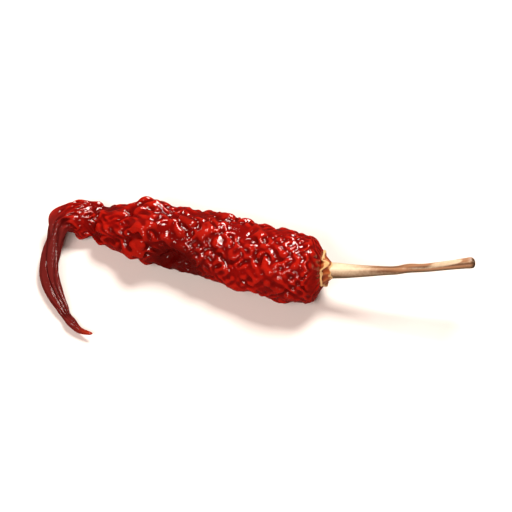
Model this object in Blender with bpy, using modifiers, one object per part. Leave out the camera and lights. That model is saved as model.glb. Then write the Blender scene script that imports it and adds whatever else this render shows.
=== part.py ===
"""One dried chilli pepper: a creased pod with a hooked tail, its calyx and its stem.

The pod lies on the surface Z = 0, with its crown and stem towards +X and its tail hooked towards -Y.
Lengths are in millimetres and angles in degrees, turned to metres only as a mesh is written.
"""

import math

import bmesh
import bpy
import numpy as np
from mathutils import Matrix, Vector

MM = 0.001

# Driving dimensions
BODY_LENGTH = 66.0  # along the centre line, from the crown to the bend of the tail
BODY_HALF_WIDTH = 8.4
TAIL_LENGTH = 37.0
TAIL_HALF_WIDTH = 2.1
CROWN_DEPTH = 4.4  # how far the round crown reaches along the pod
TIP_DEPTH = 0.8
CALYX_RADIUS = 4.2
CALYX_THICKNESS = 0.7
NECK_RADIUS = 1.9  # where the calyx meets the stem
NECK_HEIGHT = 1.9
STEM_LENGTH = 34.5
STEM_HALF_WIDTH = 1.1
PIECE_GAP = 0.3  # between touching pieces
BELLY_PRESS = 0.045  # share of the pod's half height pressed flat by the surface it dried on

# Where the centre line points, seen from above, at shares of the body's and of the tail's length
BODY_HEADING = (
    (0.0, 172.0), (0.10, 168.0), (0.20, 159.0), (0.29, 157.0), (0.39, 157.0), (0.49, 166.0),
    (0.60, 166.0), (0.70, 163.0), (0.78, 160.0), (0.85, 155.0), (0.92, 174.0), (0.97, 190.0),
)
TAIL_HEADING = (
    (0.04, 220.0), (0.10, 248.0), (0.20, 261.0), (0.34, 267.0), (0.47, 282.0), (0.60, 293.0),
    (0.73, 299.0), (0.84, 309.0), (0.94, 331.0), (1.0, 345.0),
)

# Half width at the same shares, as a share of the body's or of the tail's own half width
BODY_GIRTH = (
    (0.0, 0.90), (0.07, 0.94), (0.15, 1.0), (0.34, 1.0), (0.44, 0.96), (0.54, 0.92), (0.61, 0.91),
    (0.67, 0.92), (0.73, 0.81), (0.80, 0.67), (0.88, 0.52), (0.95, 0.50),
)
TAIL_GIRTH = (
    (0.05, 1.35), (0.16, 0.98), (0.29, 0.95), (0.43, 0.99), (0.55, 0.90), (0.69, 0.70), (0.76, 0.50),
    (0.81, 0.57), (0.92, 0.36), (1.0, 0.17),
)

# Height over width of the section, and the clear height under the line in mm
BODY_FLATNESS = ((0.0, 1.0), (0.10, 0.97), (0.25, 0.88), (0.80, 0.87))
TAIL_FLATNESS = ((0.05, 0.87), (0.30, 0.80), (1.0, 0.80))
BODY_LIFT = ((0.0, 1.1), (0.06, 0.4), (0.14, 0.0), (0.80, 0.0), (0.88, 0.05), (0.95, 0.6))
TAIL_LIFT = (
    (0.05, 2.0), (0.16, 2.4), (0.29, 1.6), (0.43, 0.6), (0.55, 0.0), (0.69, 0.0), (0.80, 0.4),
    (0.92, 1.0), (1.0, 1.8),
)

# Lengthwise furrows: mean angle round the pod, wander, length of one wander in mm, half angle, depth
# as a share of the radius, and the shares of the body where each begins and ends. 90 is the pod's top.
FURROWS = (
    (62.0, 15.0, 41.0, 13.0, 0.13, 0.10, 0.62),
    (118.0, 12.0, 33.0, 15.0, 0.15, 0.30, 0.98),
    (22.0, 13.0, 37.0, 14.0, 0.12, 0.45, 0.97),
    (188.0, 17.0, 45.0, 16.0, 0.16, 0.08, 0.90),
    (-42.0, 12.0, 39.0, 13.0, 0.10, 0.12, 0.80),
)
FURROW_FADE = 0.12  # share of the body over which a furrow fades in and out

# Hollows: place as a share of the body, half length in mm, angle, half angle, depth share
HOLLOWS = (
    (0.585, 4.6, 12.0, 34.0, 0.15),
    (0.30, 5.5, 92.0, 26.0, 0.07),
    (0.74, 3.2, 70.0, 30.0, 0.09),
    (0.93, 2.6, 40.0, 34.0, 0.10),
)

TAIL_RIBS = 3
TAIL_RIB_DEPTH = 0.17
TAIL_TWIST = 150.0  # turn of the ribs from the bend to the tip

# Stem: heading, climb and half width at shares of its length
STEM_HEADING = ((0.0, -8.5), (0.3, -7.0), (0.6, -3.0), (1.0, -0.5))
STEM_CLIMB = ((0.0, 10.0), (0.3, 11.5), (0.6, 12.5), (1.0, 14.0))
STEM_GIRTH = (
    (0.0, 1.60), (0.12, 1.48), (0.25, 1.32), (0.38, 1.06), (0.48, 0.96), (0.65, 0.94), (0.85, 1.02),
    (0.95, 1.16), (1.0, 0.98),
)

CALYX_TEETH = 5
TOOTH_REACH = 0.24  # of the calyx's radius
TOOTH_FLARE = 0.5  # how far the tips stand off the pod, in mm
NECK_FLARE = 2.2  # how steeply the calyx draws in to the stem

# Fineness of the meshes
WALK_STEP = 0.1
FACING_REACH = 3.0  # how far each way along the line a ring takes its direction from
RING_STEP = 1.15
POD_SIDES = 32
CALYX_STEPS = 30
STEM_STEP = 1.6
STEM_BEVEL_RESOLUTION = 3


def clear_scene():
    for obj in list(bpy.data.objects):
        bpy.data.objects.remove(obj)


def parts_collection(name):
    collection = bpy.data.collections.new(name)
    bpy.context.scene.collection.children.link(collection)
    return collection


def finish(name, color, roughness):
    material = bpy.data.materials.new(name)
    material.use_nodes = True
    shader = material.node_tree.nodes["Principled BSDF"]
    shader.inputs["Base Color"].default_value = (*color, 1.0)
    shader.inputs["Roughness"].default_value = roughness
    shader.inputs["Metallic"].default_value = 0.0
    return material


def read_curve(stations, at):
    """Values at the places `at`, on the smooth curve through the (place, value) stations."""
    place, value = np.array(stations, float).T
    slope = np.gradient(value, place)
    i = np.clip(np.searchsorted(place, at) - 1, 0, len(place) - 2)
    width = place[i + 1] - place[i]
    t = np.clip((at - place[i]) / width, 0.0, 1.0)
    return (
        (1 + 2 * t) * (1 - t) ** 2 * value[i]
        + t * (1 - t) ** 2 * width * slope[i]
        + t * t * (3 - 2 * t) * value[i + 1]
        + t * t * (t - 1) * width * slope[i + 1]
    )


def along_pod(body, tail, body_unit=1.0, tail_unit=1.0):
    """One table in millimetres from the pod's crown, from one in shares of the body and one of the tail."""
    return [(BODY_LENGTH * share, value * body_unit) for share, value in body] + [
        (BODY_LENGTH + TAIL_LENGTH * share, value * tail_unit) for share, value in tail
    ]


def walk(start, heading, climb, step):
    """Points of a line that leaves `start` and follows the given headings and climbs, a step for each."""
    heading, climb = np.radians(heading), np.radians(climb)
    level = np.cos(climb)
    moves = step * np.column_stack((np.cos(heading) * level, np.sin(heading) * level, np.sin(climb)))
    return np.array(start) + np.vstack((np.zeros(3), np.cumsum(moves, axis=0)))


def angle_between(angle, other):
    return (angle - other + 180.0) % 360.0 - 180.0


class PodShape:
    """The pod's outer form: where its wall is, at a distance along it and an angle round it."""

    length = BODY_LENGTH + TAIL_LENGTH

    def __init__(self):
        count = round(self.length / WALK_STEP)
        step = self.length / count
        heading = read_curve(along_pod(BODY_HEADING, TAIL_HEADING), (np.arange(count) + 0.5) * step)
        self.places = np.arange(count + 1) * step
        self.plan = walk((0.0, 0.0, 0.0), heading, 0.0 * heading, step)

    def full_half_width(self, place):
        """Half the width, without the rounding off at the crown and at the tip."""
        return read_curve(along_pod(BODY_GIRTH, TAIL_GIRTH, BODY_HALF_WIDTH, TAIL_HALF_WIDTH), place)

    def flatness(self, place):
        return read_curve(along_pod(BODY_FLATNESS, TAIL_FLATNESS), place)

    def rounding(self, place):
        """Falls from 1 to 0 over the round crown and over the tip."""
        crown = np.clip(place / CROWN_DEPTH, 0.0, 1.0)
        tip = np.clip((self.length - place) / TIP_DEPTH, 0.0, 1.0)
        return np.sqrt(1 - (1 - crown) ** 2) * np.sqrt(1 - (1 - tip) ** 2)

    def centre(self, place):
        """Points of the centre line, over the surface by the pressed half height and the lift."""
        half_height = self.full_half_width(place) * self.flatness(place)
        lift = read_curve(along_pod(BODY_LIFT, TAIL_LIFT), place)
        plan = [np.interp(place, self.places, self.plan[:, axis]) for axis in range(2)]
        return np.column_stack((*plan, half_height * (1 - BELLY_PRESS) + lift))

    def frames(self, place):
        """Centre, sideways and upward unit vectors at each place along the pod."""
        ahead = self.centre(np.minimum(place + FACING_REACH, self.length))
        behind = self.centre(np.maximum(place - FACING_REACH, 0.0))
        tangent = ahead - behind
        tangent /= np.linalg.norm(tangent, axis=1)[:, None]
        side = np.cross((0.0, 0.0, 1.0), tangent)
        side /= np.linalg.norm(side, axis=1)[:, None]
        return self.centre(place), side, np.cross(tangent, side)

    def folds(self, place, angle):
        """Share of the radius by which furrows, hollows and ribs move the wall in or out."""
        share = place / BODY_LENGTH
        form = 0.0 * place * angle
        for middle, wander, wave, half_angle, depth, begins, ends in FURROWS:
            path = middle + wander * np.sin(2 * math.pi * place / wave + math.radians(middle))
            fade = np.clip(np.minimum(share - begins, ends - share) / FURROW_FADE, 0.0, 1.0)
            form = form - depth * fade * np.exp(-((angle_between(angle, path) / half_angle) ** 2))
        for middle, half_length, towards, half_angle, depth in HOLLOWS:
            along = (place - middle * BODY_LENGTH) / half_length
            around = angle_between(angle, towards) / half_angle
            form = form - depth * np.exp(-(along**2) - around**2)
        tail_share = np.clip((place - BODY_LENGTH) / TAIL_LENGTH, 0.0, 1.0)
        ribs = np.cos(np.radians(TAIL_RIBS * (angle + TAIL_TWIST * tail_share)))
        return form + TAIL_RIB_DEPTH * np.clip(tail_share / 0.2, 0.0, 1.0) * ribs

    def ring_places(self):
        """Distances along the pod for its rings, closer where the ends round off."""
        quarter = np.radians(np.linspace(4.0, 90.0, 9))
        crown = CROWN_DEPTH * (1 - np.cos(quarter))
        tip = self.length - TIP_DEPTH * (1 - np.cos(quarter[::-2]))
        count = round((tip[0] - crown[-1]) / RING_STEP)
        return np.concatenate((crown, np.linspace(crown[-1], tip[0], count + 1)[1:-1], tip))

    def rings(self):
        """Points of the wall, one row for each ring."""
        place = self.ring_places()
        angle = np.arange(POD_SIDES) * 360.0 / POD_SIDES
        centre, side, up = self.frames(place)
        radius = (self.full_half_width(place) * self.rounding(place))[:, None]
        radius = radius * (1 + self.folds(place[:, None], angle[None, :]))
        wide = radius * np.cos(np.radians(angle))
        tall = radius * np.sin(np.radians(angle)) * self.flatness(place)[:, None]
        return centre[:, None] + wide[..., None] * side[:, None] + tall[..., None] * up[:, None]

    def crown_frame(self):
        """The crown's pole, with its Z axis pointing out of the pod along the stem."""
        centre, side, up = self.frames(np.array([0.0]))
        frame = Matrix((up[0], side[0], np.cross(up[0], side[0]))).transposed().to_4x4()
        frame.translation = Vector(centre[0] * MM)
        return frame


def crown_drop(radius):
    """How far the round crown has fallen from its pole at a radius about the pod's axis."""
    widest = BODY_GIRTH[0][1] * BODY_HALF_WIDTH
    return CROWN_DEPTH * (1 - math.sqrt(1 - min(radius / widest, 1.0) ** 2))


def add_mesh_object(name, mesh, collection, material):
    obj = bpy.data.objects.new(name, mesh)
    collection.objects.link(obj)
    mesh.materials.append(material)
    mesh.shade_smooth()
    return obj


def extrude_ring(build, edges, points):
    """Grows a tube's open edge by one ring of points, and returns the new edge and its corners."""
    grown = bmesh.ops.extrude_edge_only(build, edges=edges)["geom"]
    corners = [item for item in grown if isinstance(item, bmesh.types.BMVert)]
    fresh = set(corners)
    edges = [item for item in grown if isinstance(item, bmesh.types.BMEdge) and fresh.issuperset(item.verts)]
    for corner, point in zip(corners, points):
        corner.co = Vector(point) * MM
    return edges, corners


def press_belly_flat(build):
    """Cuts off what lies under the surface the pod dried on, and closes the cut."""
    whole = build.verts[:] + build.edges[:] + build.faces[:]
    cut = bmesh.ops.bisect_plane(build, geom=whole, plane_co=(0, 0, 0), plane_no=(0, 0, -1), clear_outer=True)
    rim = [item for item in cut["geom_cut"] if isinstance(item, bmesh.types.BMEdge)]
    bmesh.ops.holes_fill(build, edges=rim, sides=0)


def make_pod(shape, collection, material):
    """The wall: one ring extruded from the crown to the tip, with its belly pressed flat."""
    rings = shape.rings()
    build = bmesh.new()
    corners = bmesh.ops.create_circle(build, segments=POD_SIDES, radius=MM)["verts"]
    for corner, point in zip(corners, rings[0]):
        corner.co = Vector(point) * MM
    edges = build.edges[:]
    bmesh.ops.contextual_create(build, geom=corners)
    for points in rings[1:]:
        edges, corners = extrude_ring(build, edges, points)
    bmesh.ops.contextual_create(build, geom=corners)
    press_belly_flat(build)
    bmesh.ops.triangulate(build, faces=build.faces[:])
    bmesh.ops.recalc_face_normals(build, faces=build.faces[:])
    mesh = bpy.data.meshes.new("pod")
    build.to_mesh(mesh)
    build.free()
    return add_mesh_object("pod", mesh, collection, material)


def calyx_profile():
    """Half section of the calyx: down its outside from the stem to the rim, and back under it to the axis."""
    outside = []
    for share in (0.0, 0.15, 0.32, 0.5, 0.68, 0.85, 1.0):
        radius = NECK_RADIUS + (CALYX_RADIUS - NECK_RADIUS) * share
        neck = (NECK_HEIGHT - CALYX_THICKNESS) * (1 - share) ** NECK_FLARE
        outside.append((radius, PIECE_GAP + CALYX_THICKNESS + neck - crown_drop(radius)))
    rim = CALYX_RADIUS + 0.4 * CALYX_THICKNESS, PIECE_GAP + 0.5 * CALYX_THICKNESS - crown_drop(CALYX_RADIUS)
    radii = [share * CALYX_RADIUS for share in (1.0, 0.85, 0.65, 0.45, 0.25, 0.0)]
    seat = [(radius, PIECE_GAP - crown_drop(radius)) for radius in radii]
    return [(0.0, outside[0][1]), *outside, rim, *seat]


def turn_profile(profile, steps, collection):
    """The mesh of a half section, given as (radius, height) pairs, turned about the Z axis."""
    line = bpy.data.meshes.new("half_section")
    points = [(radius * MM, 0.0, height * MM) for radius, height in profile]
    line.from_pydata(points, [(i, i + 1) for i in range(len(points) - 1)], [])
    turned = bpy.data.objects.new("turned", line)
    collection.objects.link(turned)
    screw = turned.modifiers.new("turn", "SCREW")
    screw.axis = "Z"
    screw.steps = screw.render_steps = steps
    screw.use_merge_vertices = True
    screw.merge_threshold = 0.01 * MM
    mesh = bpy.data.meshes.new_from_object(turned.evaluated_get(bpy.context.evaluated_depsgraph_get()))
    bpy.data.objects.remove(turned)
    return mesh


def make_calyx(shape, collection, material):
    """A shallow cup on the crown, drawn down to the stem, with its rim pulled out into teeth."""
    mesh = turn_profile(calyx_profile(), CALYX_STEPS, collection)
    mesh.name = "calyx"
    for vertex in mesh.vertices:
        x, y, z = vertex.co / MM
        radius = math.hypot(x, y)
        reach = max(radius - NECK_RADIUS, 0.0) / (CALYX_RADIUS - NECK_RADIUS)
        tooth = 0.5 + 0.5 * math.cos(CALYX_TEETH * math.atan2(y, x))
        stretch = 1 + TOOTH_REACH * reach**2 * (tooth - 0.5)
        z += crown_drop(radius) - crown_drop(radius * stretch) + TOOTH_FLARE * tooth**2 * reach**4
        vertex.co = Vector((x * stretch, y * stretch, z)) * MM
    calyx = add_mesh_object("calyx", mesh, collection, material)
    calyx.matrix_world = shape.crown_frame()
    return calyx


def make_stem(shape, collection, material):
    """The stalk: a tapered tube that leaves the calyx's neck and climbs a little to its cut end."""
    neck_top = PIECE_GAP + NECK_HEIGHT - crown_drop(NECK_RADIUS)
    start = shape.crown_frame() @ Vector((0.0, 0.0, (neck_top + PIECE_GAP) * MM)) / MM
    count = round(STEM_LENGTH / STEM_STEP)
    middles = (np.arange(count) + 0.5) / count
    heading, climb = read_curve(STEM_HEADING, middles), read_curve(STEM_CLIMB, middles)
    points = walk(start, heading, climb, STEM_LENGTH / count)
    radii = read_curve(STEM_GIRTH, np.arange(count + 1) / count) * STEM_HALF_WIDTH
    curve = bpy.data.curves.new("stem", "CURVE")
    curve.dimensions = "3D"
    curve.bevel_depth = MM
    curve.bevel_resolution = STEM_BEVEL_RESOLUTION
    curve.use_fill_caps = True
    spline = curve.splines.new("POLY")
    spline.points.add(count)
    for knot, point, radius in zip(spline.points, points, radii):
        knot.co = (*(point * MM), 1.0)
        knot.radius = radius
    stem = bpy.data.objects.new("stem", curve)
    collection.objects.link(stem)
    curve.materials.append(material)
    return stem


def centre_on_origin(pieces):
    """Moves the pieces so that the origin is under the middle of them, on the surface they lie on."""
    bpy.context.view_layer.update()
    graph = bpy.context.evaluated_depsgraph_get()
    points = []
    for piece in pieces:
        seen = piece.evaluated_get(graph)
        points += [piece.matrix_world @ vertex.co for vertex in seen.to_mesh().vertices]
        seen.to_mesh_clear()
    low, high = np.min(points, axis=0), np.max(points, axis=0)
    for piece in pieces:
        piece.location -= Vector((*(low + high)[:2] / 2, low[2]))


def main():
    clear_scene()
    parts = parts_collection("dried_chilli_pepper")
    shape = PodShape()
    pod = make_pod(shape, parts, finish("pod_skin", (0.36, 0.012, 0.008), 0.32))
    calyx = make_calyx(shape, parts, finish("calyx_straw", (0.60, 0.36, 0.17), 0.62))
    stem = make_stem(shape, parts, finish("stem_straw", (0.72, 0.52, 0.29), 0.58))
    centre_on_origin([pod, calyx, stem])


main()
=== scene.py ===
"""The looks of one dried chilli pepper: a crinkled, glossy pod with a hooked tail, its calyx and stem.

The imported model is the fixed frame. Each of its three nodes is stood for by a fine piece made here. The
pod's skin is wrinkled by a thin film that buckles on the flesh under it, the calyx is pulled out of a
turned cup, and the stem is wrapped round a bent line. Lengths are in millimetres and angles in degrees
until a mesh is written.
"""

import logging
import math
from dataclasses import dataclass, field
from enum import Enum

import bmesh
import bpy
import numpy as np
from mathutils import Matrix, Vector


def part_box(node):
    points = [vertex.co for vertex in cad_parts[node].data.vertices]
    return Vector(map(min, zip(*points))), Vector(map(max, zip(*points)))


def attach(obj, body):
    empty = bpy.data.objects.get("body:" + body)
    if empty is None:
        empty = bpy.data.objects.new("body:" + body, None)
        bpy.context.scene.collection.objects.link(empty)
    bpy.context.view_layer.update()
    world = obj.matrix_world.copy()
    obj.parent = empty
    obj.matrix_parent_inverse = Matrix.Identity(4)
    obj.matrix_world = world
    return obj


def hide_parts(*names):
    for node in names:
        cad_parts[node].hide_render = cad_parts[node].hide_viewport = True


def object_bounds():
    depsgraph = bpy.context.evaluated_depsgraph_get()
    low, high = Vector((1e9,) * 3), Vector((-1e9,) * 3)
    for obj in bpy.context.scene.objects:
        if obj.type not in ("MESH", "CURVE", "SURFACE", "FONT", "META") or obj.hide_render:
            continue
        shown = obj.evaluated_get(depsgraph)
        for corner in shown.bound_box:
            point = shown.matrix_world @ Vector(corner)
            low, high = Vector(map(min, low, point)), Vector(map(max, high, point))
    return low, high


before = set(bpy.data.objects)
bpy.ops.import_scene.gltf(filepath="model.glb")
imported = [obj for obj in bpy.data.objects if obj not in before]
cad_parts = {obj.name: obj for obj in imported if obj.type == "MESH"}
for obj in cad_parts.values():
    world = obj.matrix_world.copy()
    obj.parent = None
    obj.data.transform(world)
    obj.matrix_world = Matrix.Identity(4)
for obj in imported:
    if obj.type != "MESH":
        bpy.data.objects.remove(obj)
CAD_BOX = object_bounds()

MM = 0.001
WELD = 1e-7  # merge distance, in metres
FULL_TURN = 360.0
UPWARD = (0.0, 0.0, 1.0)
FACTOR, LOW, HIGH, BLEND = 0, 6, 7, 2  # a colour Mix node's three input sockets, and its output socket

Table = tuple[tuple[float, float], ...]
Rows = tuple[tuple[float, ...], ...]
log = logging.getLogger("dried_chilli")


# ---------------------------------------------------------------- small tools


def linear(tone: str) -> tuple[float, float, float, float]:
    """Turns an sRGB hex colour into linear light.

    Args:
        tone: The colour, such as "#A30A06".

    Returns:
        Red, green, blue and an alpha of 1.
    """
    parts = [int(tone[i : i + 2], 16) / 255 for i in (1, 3, 5)]
    light = [c / 12.92 if c <= 0.04045 else ((c + 0.055) / 1.055) ** 2.4 for c in parts]
    return light[0], light[1], light[2], 1.0


def start_material(name: str) -> tuple[bpy.types.Material, bpy.types.NodeTree, bpy.types.Node]:
    """Starts a material.

    Args:
        name: What the real material is.

    Returns:
        The material, its node tree and its main shader.
    """
    material = bpy.data.materials.new(name)
    material.use_nodes = True
    return material, material.node_tree, material.node_tree.nodes["Principled BSDF"]


def add_node(
    tree: bpy.types.NodeTree, kind: str, inputs: dict | None = None, **settings: object
) -> bpy.types.Node:
    """Adds a shader node with its settings, and fills its inputs with values or links.

    Args:
        tree: The material's node tree.
        kind: The node's type without its "ShaderNode" prefix.
        inputs: A value or an output socket for each input, by its name or number.
        **settings: The node's own properties.

    Returns:
        The new node.
    """
    node = tree.nodes.new(f"ShaderNode{kind}")
    for name, value in settings.items():
        setattr(node, name, value)
    for name, value in (inputs or {}).items():
        if isinstance(value, bpy.types.NodeSocket):
            tree.links.new(value, node.inputs[name])
        else:
            node.inputs[name].default_value = value
    return node


def read_curve(stations: Table | list, at: np.ndarray) -> np.ndarray:
    """Reads a smooth curve through (place, value) stations.

    Args:
        stations: The stations, in order of place.
        at: The places to read.

    Returns:
        The value at each place.
    """
    place, value = np.array(stations, float).T
    slope = np.gradient(value, place)
    i = np.clip(np.searchsorted(place, at) - 1, 0, len(place) - 2)
    width = place[i + 1] - place[i]
    t = np.clip((at - place[i]) / width, 0.0, 1.0)
    return (
        (1 + 2 * t) * (1 - t) ** 2 * value[i]
        + t * (1 - t) ** 2 * width * slope[i]
        + t * t * (3 - 2 * t) * value[i + 1]
        + t * t * (t - 1) * width * slope[i + 1]
    )


def walk(start: np.ndarray, heading: np.ndarray, climb: np.ndarray, step: float) -> np.ndarray:
    """Follows a line of given headings and climbs.

    Args:
        start: The first point.
        heading: The direction of each step, seen from above.
        climb: The steepness of each step.
        step: The length of one step.

    Returns:
        The points of the line, one more than there are steps.
    """
    heading, climb = np.radians(heading), np.radians(climb)
    level = np.cos(climb)
    moves = step * np.column_stack((np.cos(heading) * level, np.sin(heading) * level, np.sin(climb)))
    return np.array(start) + np.vstack((np.zeros(3), np.cumsum(moves, axis=0)))


def angle_between(angle: np.ndarray, other: np.ndarray) -> np.ndarray:
    """Gives the signed turn from one angle to the other, from -180 to 180 degrees."""
    return (angle - other + FULL_TURN / 2) % FULL_TURN - FULL_TURN / 2


def ease(low: float, high: float, at: np.ndarray) -> np.ndarray:
    """Rises smoothly from 0 at `low` to 1 at `high`, or falls where `low` is the larger."""
    t = np.clip((at - low) / (high - low), 0.0, 1.0)
    return t * t * (3 - 2 * t)


def ring_angles(sides: int) -> np.ndarray:
    """Spreads the corners of a ring evenly round it, in degrees."""
    return np.arange(sides) * FULL_TURN / sides


def dome(share: np.ndarray) -> np.ndarray:
    """Gives the width of a round end: 0 at its pole, 1 where it meets the wall."""
    return np.sqrt(1 - (1 - share) ** 2)


def swell(seed: int, points: np.ndarray, size: float) -> np.ndarray:
    """Makes smooth random unevenness in space, so that it has no seam round a closed form.

    Args:
        seed: The number that the random waves are drawn from.
        points: The points where it is wanted, in mm, in the last axis.
        size: The usual length of one wave, in mm.

    Returns:
        A value of about -2 to 2 for each point, with a spread of 1.
    """
    waves = 48
    rng = np.random.default_rng(seed)
    ways = rng.normal(size=(waves, 3))
    ways /= np.linalg.norm(ways, axis=1)[:, None]
    pitch = 2 * math.pi / size * rng.uniform(0.7, 1.3, waves)
    phase = rng.uniform(0, 2 * math.pi, waves)
    total = np.zeros(points.shape[:-1])
    for way, turn, start in zip(ways, pitch, phase):
        total += np.sin(points @ (way * turn) + start)
    return total / math.sqrt(waves / 2)


def surface_normals(points: np.ndarray) -> np.ndarray:
    """Finds the outward normals of a tube.

    Args:
        points: One row of points for each ring of the tube.

    Returns:
        A unit vector for each point.
    """
    along = np.gradient(points, axis=0)
    around = np.roll(points, -1, axis=1) - np.roll(points, 1, axis=1)
    normal = np.cross(around, along)
    return normal / np.maximum(np.linalg.norm(normal, axis=2, keepdims=True), 1e-12)


def tube_mesh(name: str, points: np.ndarray, marks: dict[str, np.ndarray]) -> bpy.types.Mesh:
    """Wraps a grid round rows of points, and merges its seam and its two ends.

    Args:
        name: The mesh's name.
        points: One row of points in mm for each ring; the first and the last ring are single points.
        marks: Float attributes by name, with a value for each point.

    Returns:
        The closed mesh, with its faces pointing outwards.
    """
    rows, sides = points.shape[:2]
    mesh = bpy.data.meshes.new(name)
    build = bmesh.new()
    bmesh.ops.create_grid(build, x_segments=sides, y_segments=rows - 1, size=1.0)
    build.to_mesh(mesh)
    build.free()
    wrapped = np.concatenate((points, points[:, :1]), axis=1) * MM
    mesh.vertices.foreach_set("co", wrapped.astype(np.float32).ravel())
    for mark, values in marks.items():
        layer = mesh.attributes.new(mark, "FLOAT", "POINT")
        values = np.concatenate((values, values[:, :1]), axis=1)
        layer.data.foreach_set("value", values.astype(np.float32).ravel())
    build = bmesh.new()
    build.from_mesh(mesh)
    bmesh.ops.remove_doubles(build, verts=build.verts[:], dist=WELD)
    bmesh.ops.recalc_face_normals(build, faces=build.faces[:])
    build.to_mesh(mesh)
    build.free()
    return mesh


def set_piece(
    name: str, mesh: bpy.types.Mesh, finish: bpy.types.Material, node: str
) -> bpy.types.Object:
    """Puts a finished mesh in the scene in place of a CAD node.

    Args:
        name: The piece's name.
        mesh: Its mesh, in the row frame.
        finish: Its material.
        node: The CAD node that it stands for.

    Returns:
        The new object, at the origin.
    """
    mesh.materials.append(finish)
    mesh.shade_smooth()
    piece = bpy.data.objects.new(name, mesh)
    bpy.context.scene.collection.objects.link(piece)
    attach(piece, "root")
    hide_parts(node)
    log.info("%s: %d faces, in place of %s", name, len(mesh.polygons), node)
    return piece


# ---------------------------------------------------------------- finishes


@dataclass(frozen=True)
class DriedChilliSkin:
    """Waxy red skin of a sun-dried chilli: a clear, glossy cuticle over deep red flesh."""

    crease_shade: str = "#5E0201"
    wall: str = "#860502"
    crest_highlight: str = "#A01408"
    # this colour serves for real stains and also as painted shade in the waist and the deep folds
    stain_and_shade: str = "#4A0201"
    tail: str = "#702320"
    tail_crease_shade: str = "#330908"
    tip: str = "#A02E18"
    roughness: float = 0.5
    ior: float = 1.45
    gloss: float = 0.0  # the flesh itself has none: all of it is the cuticle's
    coat: float = 0.9
    tail_coat: float = 0.2
    coat_ior: float = 1.6
    coat_roughness: float = 0.06
    crest_from: float = 0.55
    stain_size: float = 9.0  # mm
    stain_from: float = 0.50
    stain_full: float = 0.72
    stain_strength: float = 0.55
    crackle_size: float = 1.2  # mm: coarser than the real crackle, which would be too fine to show
    crackle_depth: float = 0.22  # mm

    def material(self) -> bpy.types.Material:
        """Builds the skin: crests are painted a brighter red as highlight and creases a darker red as
        shade; stains darken it in patches, and the dented waist and deep folds are painted dark as shade.

        Returns:
            The material.
        """
        # A thin, clear, waxy cuticle gives small hard glints on every fold over matt deep red flesh; the
        # red is painted darker in the creases as shade and brighter on the crests as a highlight. The
        # collapsed tail is dusty, and has lost that gloss.
        material, tree, shader = start_material("dried chilli skin")
        place = add_node(tree, "TexCoord").outputs["Object"]
        ridge, painted_shade, tail, tip = (
            add_node(tree, "Attribute", attribute_name=mark).outputs["Fac"]
            for mark in ("ridge", "painted_shade", "tail", "tip")
        )
        # Painted shade: the creases are painted a darker red than the walls
        red = {FACTOR: ridge, LOW: linear(self.crease_shade), HIGH: linear(self.wall)}
        tint = add_node(tree, "Mix", red, data_type="RGBA").outputs[BLEND]
        # Painted highlight: the crests are painted a brighter red
        high = add_node(tree, "MapRange", {"Value": ridge, "From Min": self.crest_from}).outputs[0]
        patches = add_node(
            tree, "TexNoise", {"Vector": place, "Scale": 1 / (self.stain_size * MM), "Detail": 3.0}
        ).outputs["Fac"]
        spread = {"From Min": self.stain_from, "From Max": self.stain_full, "To Max": self.stain_strength}
        stain_and_shade_mask = add_node(tree, "MapRange", {"Value": patches, **spread}).outputs[0]
        # Painted shade: the dented waist and the deep folds take the stain colour too
        stain_and_shade_mask = add_node(tree, "Math", {0: stain_and_shade_mask, 1: painted_shade}, operation="MAXIMUM").outputs[0]
        # Painted shade: the tail's creases are painted darker than its ridges
        tail_shaded_tint = {FACTOR: ridge, LOW: linear(self.tail_crease_shade), HIGH: linear(self.tail)}
        tail_shaded_tint = add_node(tree, "Mix", tail_shaded_tint, data_type="RGBA").outputs[BLEND]
        crest_highlight, stain_and_shade, pale = linear(self.crest_highlight), linear(self.stain_and_shade), linear(self.tip)
        for where, tone in ((high, crest_highlight), (stain_and_shade_mask, stain_and_shade), (tail, tail_shaded_tint), (tip, pale)):
            layer = {FACTOR: where, LOW: tint, HIGH: tone}
            tint = add_node(tree, "Mix", layer, data_type="RGBA").outputs[BLEND]
        tree.links.new(tint, shader.inputs["Base Color"])
        # Papery crackle: breaks the gloss up into glints, where the cuticle has dried in fine creases
        crackle = add_node(
            tree, "TexNoise", {"Vector": place, "Scale": 1 / (self.crackle_size * MM), "Detail": 4.0}
        ).outputs["Fac"]
        bump = add_node(tree, "Bump", {"Height": crackle, "Distance": self.crackle_depth * MM}).outputs[0]
        tree.links.new(bump, shader.inputs["Normal"])
        tree.links.new(bump, shader.inputs["Coat Normal"])
        waxy = {"Value": tail, "To Min": self.coat, "To Max": self.tail_coat}
        tree.links.new(add_node(tree, "MapRange", waxy).outputs[0], shader.inputs["Coat Weight"])
        shader.inputs["Roughness"].default_value = self.roughness
        shader.inputs["IOR"].default_value = self.ior
        shader.inputs["Specular IOR Level"].default_value = self.gloss
        shader.inputs["Coat IOR"].default_value = self.coat_ior
        shader.inputs["Coat Roughness"].default_value = self.coat_roughness
        return material


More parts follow.
